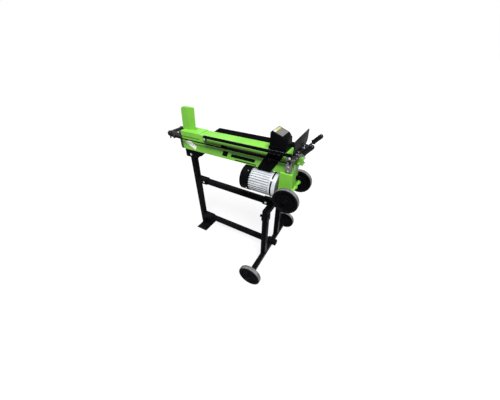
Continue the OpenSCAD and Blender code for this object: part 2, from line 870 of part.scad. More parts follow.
module cable_gland() {
    gland_d = box_d - 42;
    color(black) difference() {
        union() {
            translate([bx(gland_d - 8), box_y + 18, box_z]) rotate([0, 90, 0]) cylinder(r = 11, h = 8, $fn = 6);
            rod_x(gland_d - 22, gland_d - 8, box_y + 18, box_z, 9);
        }
        rod_x(gland_d - 23, gland_d - 4, box_y + 18, box_z, 4.5);
    }
}

function involute(base, t) = [base * (cos(t) + t * PI / 180 * sin(t)), base * (sin(t) - t * PI / 180 * cos(t))];
function involute_t(base, r) = sqrt(pow(r / base, 2) - 1) * 180 / PI;
function polar(p) = [norm(p), atan2(p[1], p[0])];
function at(r, a) = [r * cos(a), r * sin(a)];

// One gear's outline: a root circle with involute teeth
module gear_outline() {
    steps = 6;
    pitch_polar = polar(involute(gear_base_r, involute_t(gear_base_r, gear_pitch_r)));
    half_tooth = 90 / gear_teeth - gear_backlash / gear_pitch_r * 90 / PI;
    flank = [for (i = [0 : steps])
        let (r = gear_base_r + (gear_tip_r - gear_base_r) * i / steps,
             p = polar(involute(gear_base_r, involute_t(gear_base_r, r))))
        [r, half_tooth + pitch_polar[1] - p[1]]];
    one_side = concat([[gear_root_r - 1, flank[0][1]]], flank);
    circle(gear_root_r);
    for (k = [0 : gear_teeth - 1]) rotate(k * 360 / gear_teeth)
        polygon(concat([for (p = one_side) at(p[0], -p[1])],
                       [for (i = [len(one_side) - 1 : -1 : 0]) at(one_side[i][0], one_side[i][1])]));
}

module drive_gear() {
    color(steel) difference() {
        translate([bx(gear_d), motor_y, motor_z]) rotate([90, 0, 90]) linear_extrude(gear_l) gear_outline();
        motor_rod(gear_d - eps, gear_d + gear_l + eps, shaft_r + fit);
    }
}

module driven_gear() {
    color(steel) {
        translate([bx(gear_d), driven_y, motor_z]) rotate([90, 0, 90]) rotate(180 / gear_teeth)
            linear_extrude(gear_l) gear_outline();
        rod_x(gear_d - 4, gear_d, driven_y, motor_z, 8);
        rod_x(gear_d + gear_l, gear_d + gear_l + 4, driven_y, motor_z, 8);
    }
}

module pump_body() {
    pump_end_d = 745;
    cavity_r = gear_tip_r + 0.2;
    color(dark) difference() {
        union() {
            motor_rod(motor_end_d, tank_d, motor_r - 6);
            motor_rod(tank_d, tank_d + tank_wall, 20);
            block(tank_d + tank_wall, pump_end_d, motor_y - 21, driven_y + 21, motor_z - 23, motor_z + 23);
        }
        motor_rod(motor_end_d - eps, pump_end_d - 3, shaft_r + fit);
        rod_x(gear_d - 4.1, gear_d + gear_l + 4.1, driven_y, motor_z, 8 + fit);
        rod_x(gear_d - 0.1, gear_d + gear_l + 0.1, motor_y, motor_z, cavity_r);
        rod_x(gear_d - 0.1, gear_d + gear_l + 0.1, driven_y, motor_z, cavity_r);
    }
}

// ---- Wheels ----

module wheel_turn(d, y, z) {
    translate([bx(d), y, z]) rotate([-90, 0, 0]) children();
}

module tyre_shape() {
    w = wheel_w / 2;
    rotate_extrude($fn = 96) difference() {
        polygon([[wheel_r - 16, -w + 2], [wheel_r - 14, -w], [wheel_r - 4, -w], [wheel_r - 1, -w + 2],
                 [wheel_r, -w + 6], [wheel_r, w - 6], [wheel_r - 1, w - 2], [wheel_r - 4, w],
                 [wheel_r - 14, w], [wheel_r - 16, w - 2]]);
        for (g = [-6, 0, 6]) translate([wheel_r - 2, g - 1]) square([3, 2]);
    }
}

module hub_shape() {
    w = wheel_w / 2;
    rim_r = wheel_r - 16.2;
    difference() {
        rotate_extrude($fn = 96) {
            translate([rim_r - 5, -w + 3]) square([5, wheel_w - 6]);
            translate([14, -5]) square([rim_r - 17, 10]);
            translate([36, -9]) square([5, 18]);
            translate([axle_r + 0.06, -w - 1]) square([9, wheel_w + 2]);
        }
        for (a = [0 : 60 : 300]) rotate(a) translate([26, 0, -6]) cylinder(r = 4, h = 12);
    }
}

module machine_tyre_near() { color(rubber) wheel_turn(axle_d, -machine_wheel_y, axle_z) tyre_shape(); }
module machine_tyre_far() { color(rubber) wheel_turn(axle_d, machine_wheel_y, axle_z) tyre_shape(); }
module machine_hub_near() { color(black) wheel_turn(axle_d, -machine_wheel_y, axle_z) hub_shape(); }
module machine_hub_far() { color(black) wheel_turn(axle_d, machine_wheel_y, axle_z) hub_shape(); }
module stand_tyre_near() { color(rubber) wheel_turn(portal_d, -stand_wheel_y, stand_axle_z) tyre_shape(); }
module stand_tyre_far() { color(rubber) wheel_turn(portal_d, stand_wheel_y, stand_axle_z) tyre_shape(); }
module stand_hub_near() { color(black) wheel_turn(portal_d, -stand_wheel_y, stand_axle_z) hub_shape(); }
module stand_hub_far() { color(black) wheel_turn(portal_d, stand_wheel_y, stand_axle_z) hub_shape(); }

// ---- Stand ----

module stand_bracket() {
    plate_t = 4;
    inner = leg_tube / 2 + 0.5;
    color(black) {
        block(-17, 150, -inner - plate_t, inner + plate_t, underside_z - plate_t, underside_z);
        both_sides() difference() {
            side_plate(inner, inner + plate_t)
                polygon([[-17, underside_z - plate_t], [-17, bracket_bottom_z], [82, bracket_bottom_z],
                         [150, underside_z - 14], [150, underside_z - plate_t]]);
            rod_y(leg_d, inner - eps, inner + plate_t + eps, underside_z - 46, 5.1);
        }
    }
}

module left_leg() {
    top = underside_z - 6;
    color(black) difference() {
        union() {
            square_tube_z(leg_d, 0, foot_t, top, leg_tube, 2.5);
            square_tube_x(leg_d + leg_tube / 2, 131, 0, upper_bar_z, socket, 4 - socket_fit);
            square_tube_x(leg_d + leg_tube / 2, 139, 0, lower_bar_z, socket, 4 - socket_fit);
        }
        rod_y(leg_d, -leg_tube, leg_tube, underside_z - 46, 5.1);
    }
}

module foot_plate() {
    color(black) {
        block(5, 102, -80, 80, 0, foot_t);
        side_plate(-2.5, 2.5)
            polygon([[leg_d + leg_tube / 2, foot_t], [98, foot_t], [98, 40], [80, lower_bar_z - socket / 2],
                     [leg_d + leg_tube / 2, lower_bar_z - socket / 2]]);
    }
}

module upper_bar() {
    color(black) square_tube_x(leg_d + leg_tube / 2, portal_d - leg_tube / 2, 0, upper_bar_z, tube, 2.5);
}

module lower_bar() {
    end_d = 706;
    color(black) {
        square_tube_x(leg_d + leg_tube / 2, end_d, 0, lower_bar_z, tube, 2.5);
        block(end_d, end_d + 4, -tube / 2, tube / 2, lower_bar_z - tube / 2, lower_bar_z + tube / 2);
    }
}

module cross_tube() {
    half_l = leg_y + leg_tube / 2;
    bottom = upper_bar_z - leg_tube / 2;
    color(black) {
        square_tube_y(portal_d, -half_l, half_l, upper_bar_z, leg_tube, 2.5);
        square_tube_x(590, portal_d - leg_tube / 2, 0, upper_bar_z, socket, 4 - socket_fit);
        for (y = [-leg_y, leg_y]) {
            square_tube_z(portal_d, y, bottom - 42, bottom, socket, 4 - socket_fit);
            // Clamp screw of the socket
            rod_x(portal_d - socket / 2 - 12, portal_d - socket / 2, y, bottom - 22, 4);
            rod_x(portal_d - socket / 2 - 16, portal_d - socket / 2 - 10, y, bottom - 22, 9);
        }
    }
}

module portal_legs() {
    top = upper_bar_z - leg_tube / 2;
    color(black) for (y = [-leg_y, leg_y])
        square_tube_z(portal_d, y, stand_axle_z + axle_tube / 2, top, tube, 2.5);
}

module stand_head() {
    top = tank_floor_z;
    low = upper_bar_z + leg_tube / 2;
    color(black) {
        both_sides() side_plate(24, 30)
            polygon([[portal_d - 17, low], [portal_d + 17, low], [742, top - 20], [742, top - 6],
                     [tank_d, top - 6], [tank_d, low + 60]]);
        block(tank_d, 742, -30, 30, top - 6, top);
    }
}

module stand_axle() {
    tube_end = stand_wheel_y - wheel_w / 2 - 8;
    saddle_top = lower_bar_z + tube / 2 + 4;
    color(black) {
        square_tube_y(portal_d, -tube_end, tube_end, stand_axle_z, axle_tube, 2.5);
        both_sides() rod_y(portal_d, tube_end - 30, tube_end + 6, stand_axle_z, axle_tube / 2 - 2.2);
        both_sides() rod_y(portal_d, tube_end + 6, stand_wheel_y + wheel_w / 2 + 3, stand_axle_z, axle_r);
        difference() {
            block(portal_d - leg_tube / 2, portal_d + leg_tube / 2, -socket / 2, socket / 2,
                  stand_axle_z + axle_tube / 2, saddle_top);
            block(portal_d - leg_tube, portal_d + leg_tube, -tube / 2 - socket_fit, tube / 2 + socket_fit,
                  lower_bar_z - tube / 2 - socket_fit, lower_bar_z + tube / 2 + socket_fit);
        }
    }
}

beam();
end_plate();
wedge_table();
wedge();
carry_handle();
cradle_wings();
bolts();
rear_plate();
tank();
tank_plugs();
machine_axle();
axle_caps();
piston_rod();
piston();
valve_block();
valve_bracket();
lever_bracket();
hand_guard();
motor_body();
motor_stator();
end_bell();
fan_cover();
motor_bearings();
terminal_box();
cable_gland();
pump_body();
stand_bracket();
left_leg();
foot_plate();
upper_bar();
lower_bar();
cross_tube();
portal_legs();
stand_head();
stand_axle();
pusher_block();
pusher_saddle();
cylinder_barrel();
cylinder_gland();
machine_tyre_near();
machine_hub_near();
machine_tyre_far();
machine_hub_far();
stand_tyre_near();
stand_hub_near();
stand_tyre_far();
stand_hub_far();
near_lever();
near_grip();
far_lever();
far_grip();
valve_spool();
valve_spring();
stroke_rod();
stroke_collar();
motor_shaft();
cooling_fan();
drive_gear();
driven_gear();
switch_rocker();
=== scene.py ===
"""Electric hydraulic log splitter on a wheeled stand: its finishes, small details and studio."""

import json
import math

import bmesh
import bpy
from mathutils import Matrix, Vector, noise


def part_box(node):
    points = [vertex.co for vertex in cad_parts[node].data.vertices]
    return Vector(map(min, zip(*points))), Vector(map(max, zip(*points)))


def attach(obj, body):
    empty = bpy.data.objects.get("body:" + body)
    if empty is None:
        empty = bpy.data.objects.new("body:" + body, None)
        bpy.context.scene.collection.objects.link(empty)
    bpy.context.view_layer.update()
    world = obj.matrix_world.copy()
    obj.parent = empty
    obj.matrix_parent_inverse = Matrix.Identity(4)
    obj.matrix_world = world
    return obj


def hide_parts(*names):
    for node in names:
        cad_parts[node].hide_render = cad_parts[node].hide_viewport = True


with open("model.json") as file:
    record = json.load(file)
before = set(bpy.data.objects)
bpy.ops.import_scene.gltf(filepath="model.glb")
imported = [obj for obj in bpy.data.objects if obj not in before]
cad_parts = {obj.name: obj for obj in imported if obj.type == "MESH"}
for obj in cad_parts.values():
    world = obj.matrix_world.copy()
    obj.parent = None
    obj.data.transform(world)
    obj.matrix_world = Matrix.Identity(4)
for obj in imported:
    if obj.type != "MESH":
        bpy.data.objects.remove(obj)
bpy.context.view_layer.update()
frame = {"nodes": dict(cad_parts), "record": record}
nodes = frame["nodes"]

MM = 0.001
X_AXIS = Vector((1, 0, 0))
Y_AXIS = Vector((0, 1, 0))
Z_AXIS = Vector((0, 0, 1))


def middle(node):
    """The centre of a CAD node's box."""
    low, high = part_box(node)
    return (low + high) / 2


BEAM_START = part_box("beam")[0].x
TYRES = {"machine_near": "machine_tyre_near", "machine_far": "machine_tyre_far",
         "stand_near": "stand_tyre_near", "stand_far": "stand_tyre_far"}
HUBS = {name: node.replace("tyre", "hub") for name, node in TYRES.items()}
TYRE_R = (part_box("machine_tyre_near")[1].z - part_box("machine_tyre_near")[0].z) / 2
SLOT_OF = {row["node"]: row["material_slot"] for row in frame["record"]["subparts"]}


# ---- Materials ----

class Graph:
    """A material's nodes, with a short way to add one and link its inputs."""

    def __init__(self, name):
        self.material = bpy.data.materials.new(name)
        self.material.use_nodes = True
        self.tree = self.material.node_tree
        self.shader = self.tree.nodes["Principled BSDF"]
        self.point = self.add("ShaderNodeTexCoord").outputs["Object"]

    def add(self, kind, settings=None, **inputs):
        made = self.tree.nodes.new(kind)
        for key, value in (settings or {}).items():
            setattr(made, key, value)
        for key, value in inputs.items():
            self.put(made.inputs[key.replace("_", " ")], value)
        return made

    def put(self, socket, value):
        if isinstance(value, bpy.types.NodeSocket):
            self.tree.links.new(value, socket)
        else:
            socket.default_value = value

    def noise(self, scale, detail=3.0, rough=0.55, point=None):
        made = self.add("ShaderNodeTexNoise", Vector=point or self.point, Scale=scale, Detail=detail,
                        Roughness=rough)
        return made.outputs["Fac"]

    def stretched(self, scale):
        """The object's own coordinates, scaled by one factor for each axis."""
        made = self.add("ShaderNodeMapping", Vector=self.point, Scale=scale)
        return made.outputs["Vector"]

    def band(self, value, low, high, to_low=0.0, to_high=1.0):
        made = self.add("ShaderNodeMapRange", {"interpolation_type": "SMOOTHSTEP"}, Value=value)
        made.inputs["From Min"].default_value = low
        made.inputs["From Max"].default_value = high
        made.inputs["To Min"].default_value = to_low
        made.inputs["To Max"].default_value = to_high
        return made.outputs["Result"]

    def math(self, operation, a, b=0.0):
        made = self.add("ShaderNodeMath", {"operation": operation})
        self.put(made.inputs[0], a)
        self.put(made.inputs[1], b)
        return made.outputs["Value"]

    def mix(self, share, first, second):
        made = self.add("ShaderNodeMix", {"data_type": "RGBA"})
        self.put(made.inputs["Factor"], share)
        self.put(made.inputs[6], first)
        self.put(made.inputs[7], second)
        return made.outputs[2]

    def bump(self, height, depth, below=None):
        made = self.add("ShaderNodeBump", Height=height, Distance=depth, Strength=1.0)
        if below is not None:
            self.put(made.inputs["Normal"], below)
        return made.outputs["Normal"]

    def edges(self, radius):
        """1 where the surface turns within the radius, 0 on the flat."""
        rounded = self.add("ShaderNodeBevel", {"samples": 4}, Radius=radius).outputs["Normal"]
        flat = self.add("ShaderNodeNewGeometry").outputs["Normal"]
        made = self.add("ShaderNodeVectorMath", {"operation": "DOT_PRODUCT"})
        self.put(made.inputs[0], rounded)
        self.put(made.inputs[1], flat)
        return self.math("SUBTRACT", 1.0, made.outputs["Value"])

    def upward(self):
        """How far the surface faces up, from 0 to 1."""
        normal = self.add("ShaderNodeNewGeometry").outputs["Normal"]
        split = self.add("ShaderNodeSeparateXYZ", Vector=normal)
        return self.band(split.outputs["Z"], 0.2, 0.95)

    def set(self, **inputs):
        for key, value in inputs.items():
            self.put(self.shader.inputs[key.replace("_", " ")], value)


def colour(red, green, blue):
    return (red, green, blue, 1.0)


def scaled(base, factor, lift=0.0):
    """A colour made lighter or darker, with no channel past white."""
    return colour(*[min(1.0, factor * value + lift) for value in base])


DUST = colour(0.42, 0.40, 0.34)
BLACK = colour(0.0022, 0.0023, 0.0030)
DEEP_BLACK = colour(0.0014, 0.0015, 0.0020)


def paint(name, base, deep, worn_and_lit_edge_colour, dust, rough=(0.30, 0.42), grain=900, grain_depth=0.03 * MM,
          wear=0.4, reach=1.1 * MM):
    """Powder-coated steel: orange peel, slight unevenness, dust on top and a paler colour along the
    edges, which is wear on most parts and a painted highlight on the cradle wings.
    """
    g = Graph(name)
    uneven = g.band(g.noise(7.0), 0.35, 0.65)
    tone = g.mix(uneven, deep, base)
    dusty = g.math("MULTIPLY", g.upward(), g.band(g.noise(38.0, 6.0), 0.42, 0.72, 0.0, dust))
    tone = g.mix(dusty, tone, DUST)
    chips = g.band(g.noise(260.0, 5.0, 0.7), 0.46, 0.60)
    # The paler edge colour is wear on most paints, and on the cradle wings a painted highlight along
    # their folds.
    rubbed_and_lit_edges = g.band(g.edges(reach), 0.02, 0.16)
    worn_and_lit_edge_share = g.math("MULTIPLY", rubbed_and_lit_edges, g.math("MULTIPLY", chips, wear))
    tone = g.mix(worn_and_lit_edge_share, tone, worn_and_lit_edge_colour)
    gloss = g.band(g.noise(24.0, 4.0), 0.3, 0.7, rough[0], rough[1])
    peel = g.bump(g.noise(grain, 2.0), grain_depth)
    g.set(Base_Color=tone, Roughness=gloss, Normal=peel)
    return g


def green_paint():
    g = paint("green_paint", colour(0.135, 0.385, 0.036), colour(0.115, 0.335, 0.028),
              colour(0.50, 0.66, 0.36), dust=0.07, wear=0.30)
    g.set(Coat_Weight=0.10, Coat_Roughness=0.16, Specular_IOR_Level=0.22)
    return g.material


def black_paint(name, worn_and_lit_edge_colour, **edges):
    """Black powder coat. The paler colour along its edges and how far it reaches can be set: wear on
    most parts, a painted highlight on the cradle wings.
    """
    g = paint(name, BLACK, DEEP_BLACK, worn_and_lit_edge_colour, dust=0.004, rough=(0.32, 0.46), grain=1500, **edges)
    g.set(Specular_IOR_Level=0.015)
    return g.material


def dark_paint():
    g = paint("dark_paint", colour(0.0095, 0.0105, 0.0135), colour(0.0065, 0.0072, 0.0095),
              colour(0.20, 0.20, 0.21), dust=0.04, rough=(0.22, 0.34), grain=1100,
              grain_depth=0.008 * MM)
    g.set(Specular_IOR_Level=0.32)
    return g.material


def plated(name, cool, warm, dull):
    """Zinc plate, a little cloudy, with a fine grain."""
    g = Graph(name)
    cloud = g.band(g.noise(45.0, 4.0), 0.35, 0.65)
    tone = g.mix(cloud, colour(*cool), colour(*warm))
    stain = g.band(g.noise(130.0, 6.0, 0.7), 0.56, 0.70, 0.0, 0.5)
    tone = g.mix(stain, tone, colour(*dull))
    gloss = g.band(g.noise(90.0, 5.0), 0.3, 0.7, 0.26, 0.46)
    fine = g.bump(g.noise(700.0, 3.0), 0.03 * MM)
    g.set(Base_Color=tone, Roughness=gloss, Normal=fine, Metallic=1.0)
    return g.material


def ground_steel(name, base, rough):
    """Machined steel with fine lines along X."""
    g = Graph(name)
    lines = g.noise(1.0, 4.0, 0.6, g.stretched((60.0, 2200.0, 2200.0)))
    gloss = g.band(lines, 0.3, 0.7, rough[0], rough[1])
    tone = g.mix(g.band(g.noise(60.0), 0.3, 0.7), scaled(base, 0.82), colour(*base))
    g.set(Base_Color=tone, Roughness=gloss, Normal=g.bump(lines, 0.015 * MM), Metallic=1.0)
    return g.material


def alloy():
    """Die-cast and extruded aluminium under a thin silver lacquer."""
    g = Graph("silver_alloy")
    cloud = g.band(g.noise(30.0, 5.0), 0.35, 0.68)
    tone = g.mix(cloud, colour(0.43, 0.45, 0.47), colour(0.52, 0.54, 0.56))
    draw = g.noise(1.0, 3.0, 0.6, g.stretched((14.0, 420.0, 420.0)))
    tone = g.mix(g.band(draw, 0.5, 0.8, 0.0, 0.10), tone, colour(0.36, 0.37, 0.39))
    cast = g.bump(g.noise(520.0, 4.0), 0.012 * MM)
    g.set(Base_Color=tone, Roughness=g.band(g.noise(70.0, 4.0), 0.3, 0.7, 0.34, 0.44),
          Normal=g.bump(draw, 0.01 * MM, cast), Metallic=0.45)
    return g.material


def cast_iron():
    g = Graph("pump_iron")
    cloud = g.band(g.noise(80.0, 5.0), 0.35, 0.7)
    tone = g.mix(cloud, colour(0.035, 0.037, 0.040), colour(0.060, 0.062, 0.066))
    g.set(Base_Color=tone, Roughness=g.band(g.noise(120.0), 0.3, 0.7, 0.42, 0.6),
          Normal=g.bump(g.noise(420.0, 5.0), 0.12 * MM), Metallic=0.6)
    return g.material


def moulded(name, base, rough, grain_depth=0.04 * MM, specular=0.35):
    """Moulded plastic with a spark-eroded texture, paler in patches and where its edges are rubbed."""
    g = Graph(name)
    patches = g.band(g.noise(28.0, 5.0), 0.45, 0.75, 0.0, 0.5)
    tone = g.mix(patches, colour(*base), scaled(base, 1.5, 0.001))
    scuffs = g.band(g.noise(300.0, 4.0), 0.45, 0.62, 0.0, 0.35)
    rub = g.math("MULTIPLY", g.band(g.edges(0.9 * MM), 0.02, 0.15), scuffs)
    tone = g.mix(rub, tone, scaled(base, 3.0, 0.012))
    pebble = g.add("ShaderNodeTexVoronoi", Vector=g.point, Scale=1400.0).outputs["Distance"]
    g.set(Base_Color=tone, Roughness=g.band(g.noise(50.0, 4.0), 0.3, 0.7, rough[0], rough[1]),
          Normal=g.bump(pebble, grain_depth), Specular_IOR_Level=specular)
    return g.material


def tyre_rubber():
    """Solid rubber: black side walls, and a tread painted grey, partly as dust where it rolls and
    partly as a painted sheen of light.
    """
    g = Graph("tyre_rubber")
    across = g.add("ShaderNodeSeparateXYZ", Vector=g.point)
    x_squared = g.math("MULTIPLY", across.outputs["X"], across.outputs["X"])
    z_squared = g.math("MULTIPLY", across.outputs["Z"], across.outputs["Z"])
    radius = g.math("SQRT", g.math("ADD", x_squared, z_squared))
    tread_dust_and_sheen = g.band(radius, TYRE_R - 3.5 * MM, TYRE_R - 0.5 * MM)
    patchy = g.band(g.noise(42.0, 6.0), 0.30, 0.62, 0.35, 1.0)
    cloud = g.band(g.noise(55.0, 4.0), 0.4, 0.7)
    tone = g.mix(cloud, colour(0.0022, 0.0022, 0.0028), colour(0.0040, 0.0040, 0.0046))
    # The tread's grey is partly dust and partly a painted sheen of light on the tread.
    tone = g.mix(g.math("MULTIPLY", tread_dust_and_sheen, patchy), tone, colour(0.125, 0.125, 0.127))
    g.set(Base_Color=tone, Roughness=g.band(g.noise(80.0), 0.3, 0.7, 0.55, 0.75),
          Normal=g.bump(g.noise(650.0, 4.0), 0.06 * MM), Specular_IOR_Level=0.02)
    return g.material


def winding():
    """Varnished copper turns."""
    g = Graph("winding")
    turns = g.add("ShaderNodeTexWave", {"bands_direction": "X"}, Vector=g.point, Scale=380.0,
                  Distortion=1.5).outputs["Fac"]
    tone = g.mix(turns, colour(0.16, 0.05, 0.015), colour(0.55, 0.22, 0.08))
    g.set(Base_Color=tone, Roughness=0.35, Normal=g.bump(turns, 0.2 * MM), Metallic=0.6)
    return g.material


def sticker(name, base, rough=0.28):
    """A blank printed label under clear film, a little scuffed."""
    g = Graph(name)
    scuff = g.band(g.noise(1.0, 5.0, 0.7, g.stretched((400.0, 120.0, 120.0))), 0.58, 0.70, 0.0, 0.35)
    tone = g.mix(scuff, colour(*base), scaled(base, 0.72))
    g.set(Base_Color=tone, Roughness=g.band(g.noise(60.0), 0.3, 0.7, rough, rough + 0.12),
          Normal=g.bump(g.noise(240.0, 2.0), 0.02 * MM), Coat_Weight=0.5, Coat_Roughness=0.12)
    return g.material


MATERIALS = {
    "green_paint": green_paint(),
    "black_paint": black_paint("black_paint", colour(0.05, 0.05, 0.052)),
    "dark_paint": dark_paint(),
    "zinc": plated("zinc_plate", (0.46, 0.47, 0.49), (0.62, 0.62, 0.60), (0.30, 0.27, 0.23)),
    "gunmetal": plated("black_zinc", (0.150, 0.145, 0.160), (0.200, 0.185, 0.185),
                       (0.075, 0.068, 0.070)),
    "steel": ground_steel("ground_steel", (0.56, 0.57, 0.58), (0.22, 0.38)),
    "chrome": ground_steel("chromed_rod", (0.78, 0.79, 0.80), (0.05, 0.14)),
    "alloy": alloy(),
    "pump_iron": cast_iron(),
    "black_plastic": moulded("black_plastic", (0.0018, 0.0018, 0.0024), (0.34, 0.48),
                             specular=0.012),
    "grip_plastic": moulded("grip_plastic", (0.0040, 0.0040, 0.0045), (0.26, 0.40), 0.02 * MM, 0.12),
    "tyre_rubber": tyre_rubber(),
    "winding": winding(),
    "red_plastic": moulded("red_plastic", (0.50, 0.020, 0.012), (0.18, 0.30), 0.01 * MM, 0.5),
    # The wings' pale bluish edges are a painted highlight along their folds, laid on through the edge
    # mask.
    "wing_paint_edge_highlight": black_paint("wing_paint_edge_highlight", colour(0.30, 0.34, 0.40), wear=0.9, reach=3.0 * MM),
    "label_yellow": sticker("label_yellow", (0.34, 0.30, 0.12)),
    "label_white": sticker("label_white", (0.78, 0.77, 0.72)),
    # This label is the same white as label_white, made darker because it lies in full light on the
    # pusher's top: the gap between the two tones is painted light and shade.
    "label_white_lit": sticker("label_white_lit", (0.42, 0.41, 0.36)),
    "label_silver": sticker("label_silver", (0.112, 0.112, 0.100), 0.16),
}
# Nodes whose finish isn't the one of their slot in the record; the wings' finish has a painted
# highlight along its edges
FINISHES = {"hand_guard": "black_paint", "stroke_rod": "black_paint",
            "stroke_collar": "black_paint", "cradle_wings": "wing_paint_edge_highlight"}
# How wide each node's edges are rounded, in millimetres: plates are shaded flat, the rest smooth
PLATE_EDGES = {
    "beam": 1.2, "end_plate": 1.0, "wedge_table": 0.8, "wedge": 1.0, "rear_plate": 1.2, "tank": 1.4,
    "cradle_wings": 0.7, "pusher_saddle": 0.9, "foot_plate": 1.0, "stand_bracket": 0.8,
    "valve_bracket": 0.5, "lever_bracket": 0.5,
}
ROUND_EDGES = {
    "pusher_block": 2.5, "left_leg": 1.6, "upper_bar": 1.6, "lower_bar": 1.6, "cross_tube": 1.6,
    "portal_legs": 1.6, "stand_head": 1.0, "stand_axle": 1.4, "valve_block": 0.8,
    "terminal_box": 1.6, "bolts": 0.4, "carry_handle": 0.6,
}


def dress(node):
    """Gives a CAD node its finish."""
    materials = nodes[node].data.materials
    materials.clear()
    materials.append(MATERIALS[FINISHES.get(node, SLOT_OF[node])])


def soften(node, width, smooth):
    """Rounds a CAD node's sharp edges with modifiers, which leave its own mesh alone."""
    piece = nodes[node]
    join = piece.modifiers.new("join", "WELD")
    join.merge_threshold = 0.01 * MM
    clean = piece.modifiers.new("clean", "DECIMATE")
    clean.decimate_type = "DISSOLVE"
    clean.angle_limit = math.radians(0.4)
    edge = piece.modifiers.new("edge", "BEVEL")
    edge.width = width
    edge.segments = 2
    edge.limit_method = "ANGLE"
    edge.angle_limit = math.radians(38)
    edge.harden_normals = smooth
    for face in piece.data.polygons:
        face.use_smooth = smooth


for node in nodes:
    dress(node)
for node, width in PLATE_EDGES.items():
    soften(node, width * MM, False)
for node, width in ROUND_EDGES.items():
    soften(node, width * MM, True)


# ---- Mesh helpers ----

def place(d, y, z):
    """A point from millimetres along the beam, across it and above the floor."""
    return Vector((BEAM_START + d * MM, y * MM, z * MM))


def add_object(name, data):
    made = bpy.data.objects.new(name, data)
    bpy.context.scene.collection.objects.link(made)
    return made


def add_piece(name, made, body, material, sharp=32):
    """Turns a bmesh into a piece with a finish that rides on a body."""
    bmesh.ops.recalc_face_normals(made, faces=made.faces)
    mesh = bpy.data.meshes.new(name)
    made.to_mesh(mesh)
    made.free()
    mesh.materials.append(MATERIALS[material])
    for face in mesh.polygons:
        face.use_smooth = True
    mesh.set_sharp_from_angle(angle=math.radians(sharp))
    piece = add_object(name, mesh)
    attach(piece, body)
    return piece


def hexed(radius, angle):
    """The distance to a hexagon's side at an angle, for corners at the given radius."""
    side = math.radians(60)
    return radius * math.cos(side / 2) / math.cos((angle % side) - side / 2)


def turn(made, profile, centre, axis, sides=48, closed=False):
    """Revolves an outline round an axis.

    A point is (radius, along), or (radius, along, True) where the section is a hexagon.
    """
    across = axis.orthogonal().normalized()
    other = axis.cross(across)
    rings = []
    for point in profile:
        ring = []
        for i in range(sides):
            angle = math.tau * i / sides
            radius = hexed(point[0], angle) if len(point) == 3 else point[0]
            spot = across * math.cos(angle) + other * math.sin(angle)
            ring.append(made.verts.new(centre + spot * radius + axis * point[1]))
        rings.append(ring)
    pairs = list(zip(rings, rings[1:]))
    if closed:
        pairs.append((rings[-1], rings[0]))
    for low, high in pairs:
        for i in range(sides):
            j = (i + 1) % sides
            made.faces.new((low[i], low[j], high[j], high[i]))
    bmesh.ops.remove_doubles(made, verts=made.verts, dist=1e-7)


def sweep(made, points, radii, sides=8):
    """A closed round tube along a line of points, with a radius at each."""
    rings = []
    side = (points[1] - points[0]).orthogonal().normalized()
    for i, point in enumerate(points):
        ahead = (points[min(i + 1, len(points) - 1)] - points[max(i - 1, 0)]).normalized()
        side = (side - ahead * side.dot(ahead)).normalized()
        up = ahead.cross(side)
        ring = []
        for k in range(sides):
            angle = math.tau * k / sides
            out = side * math.cos(angle) + up * math.sin(angle)
            ring.append(made.verts.new(point + out * radii[i]))
        rings.append(ring)
    for low, high in zip(rings, rings[1:]):
        for k in range(sides):
            made.faces.new((low[k], low[(k + 1) % sides], high[(k + 1) % sides], high[k]))
    made.faces.new(rings[0])
    made.faces.new(rings[-1])


def bead(made, corners, radius=2.0 * MM, closed=False):
    """A rippled weld bead along the straight runs between corners."""
    points_per_ripple = 4
    step = 1.7 * radius / points_per_ripple
    stops = corners + [corners[0]] if closed else corners
    for start, end in zip(stops, stops[1:]):
        count = max(4, round((end - start).length / step))
        points = [start.lerp(end, i / count) for i in range(count + 1)]
        radii = []
        for i, point in enumerate(points):
            ripple = 0.16 * abs(math.sin(math.pi * i / points_per_ripple))
            wave = 0.86 + ripple + 0.16 * noise.noise(point * 260.0)
            fade = min(1.0, 0.45 + 0.25 * min(i, count - i))
            radii.append(radius * wave * fade)
        sweep(made, points, radii)


def rounded(width, height, radius, steps=5):
    """A rectangle's outline with round corners, about its centre."""
    outline = []
    corners = ((1, 1, 0), (-1, 1, 90), (-1, -1, 180), (1, -1, 270))
    for sx, sy, first in corners:
        for k in range(steps + 1):
            angle = math.radians(first + 90 * k / steps)
            outline.append((sx * (width / 2 - radius) + radius * math.cos(angle),
                            sy * (height / 2 - radius) + radius * math.sin(angle)))
    return outline


def slanted(length, height):
    """A bar's outline that leans to the right as it rises, about its centre."""
    lean = 0.2 * height
    return [(-length / 2 - lean, -height / 2), (length / 2 - lean, -height / 2),
            (length / 2 + lean, height / 2), (-length / 2 + lean, height / 2)]


def rectangle(centre, u, v, width, height):
    """The corners of a rectangle, for a bead round a square tube."""
    half_w, half_h = width / 2, height / 2
    signs = ((1, 1), (-1, 1), (-1, -1), (1, -1))
    return [centre + u * (a * half_w) + v * (b * half_h) for a, b in signs]


def slab(made, outline, centre, u, v, thickness, edge=0.0):
    """An outline in the u, v plane made thick towards u x v, with a small chamfer round its top."""
    out = u.cross(v)
    levels = [(0.0, 1.0), (thickness, 1.0)]
    if edge:
        reach = max(max(abs(a), abs(b)) for a, b in outline)
        levels = [(0.0, 1.0), (thickness - edge, 1.0), (thickness, 1.0 - edge / reach)]
    rings = []
    for height, scale in levels:
        rings.append([made.verts.new(centre + u * (a * scale) + v * (b * scale) + out * height)
                      for a, b in outline])
    for low, high in zip(rings, rings[1:]):
        for i in range(len(outline)):
            j = (i + 1) % len(outline)
            made.faces.new((low[i], low[j], high[j], high[i]))
    made.faces.new(rings[0])
    made.faces.new(rings[-1])


